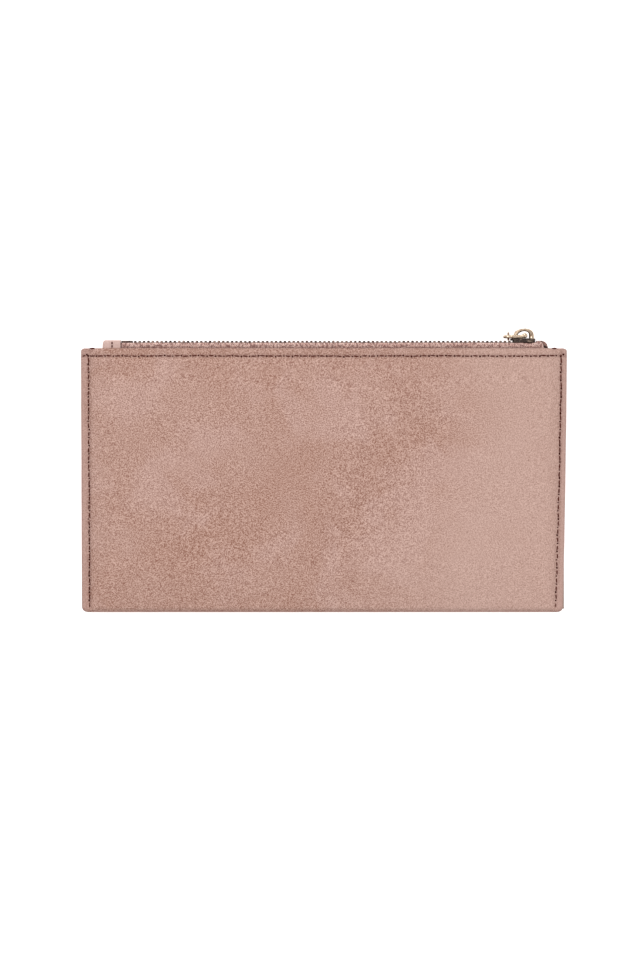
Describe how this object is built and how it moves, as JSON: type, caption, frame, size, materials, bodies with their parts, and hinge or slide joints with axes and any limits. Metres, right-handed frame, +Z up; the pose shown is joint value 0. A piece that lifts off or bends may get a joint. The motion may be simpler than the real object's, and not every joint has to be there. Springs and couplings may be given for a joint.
{
  "type": "zip-top wallet",
  "caption": "Flat zip-top wallet: a folded suede leather body sewn at the sides, lined, with card slots, and a metal zip with slider, bail, pull link and ring.",
  "frame": {"origin": "centre of the front panel's outer face, on which the wallet lies", "axes": "+X along the zip towards its closed end, +Y up the panel towards the zip, +Z up through the wallet's thickness to the back panel"},
  "size_m": [0.197, 0.1151, 0.012],
  "materials": {
    "suede": "dusty rose suede, soft nap with cloudy shading",
    "tab_leather": "lighter pink leather, smooth",
    "tape": "woven twill tape",
    "lining": "plain woven lining",
    "board": "stiffening board",
    "thread": "dark maroon sewing thread",
    "teeth_metal": "dark antique brass",
    "slider_metal": "antique brass, darker in the recesses"
  },
  "bodies": {
    "pouch": {"leather_wrap": "suede", "back_stiffener": "board", "front_stiffener": "board", "lining_bag": "lining", "card_pocket_upper": "lining", "card_pocket_middle": "lining", "card_pocket_lower": "lining", "pocket_seams": "thread", "zipper_tape_back": "tape", "zipper_tape_front": "tape", "zipper_teeth_back": "teeth_metal", "zipper_teeth_front": "teeth_metal", "zipper_bottom_stop": "teeth_metal", "zipper_top_stop_back": "teeth_metal", "zipper_top_stop_front": "teeth_metal", "zipper_end_tab": "tab_leather", "end_tab_thread": "thread", "top_seam_thread_back": "thread", "top_seam_thread_front": "thread", "side_seam_thread_left": "thread", "side_seam_thread_right": "thread"},
    "slider": {"slider_body": "slider_metal", "slider_bail": "slider_metal"},
    "pull": {"pull_link": "slider_metal"},
    "ring": {"pull_ring": "slider_metal"}
  },
  "joints": [
    {"name": "slider_slide", "type": "slide", "parent": "pouch", "child": "slider", "axis": [-1, 0, 0], "range_m": [0, 0.1525], "deforming": ["zipper_teeth_back", "zipper_teeth_front"]},
    {"name": "pull_swing", "type": "hinge", "parent": "slider", "child": "pull", "pos_m": [0.0815, 0.05865, 0.006], "axis": [0, 0, -1], "range_deg": [0, 170]},
    {"name": "ring_swing", "type": "hinge", "parent": "pull", "child": "ring", "pos_m": [0.07484, 0.0582, 0.006], "axis": [0, 1, 0], "range_deg": [-10, 190]}
  ]
}
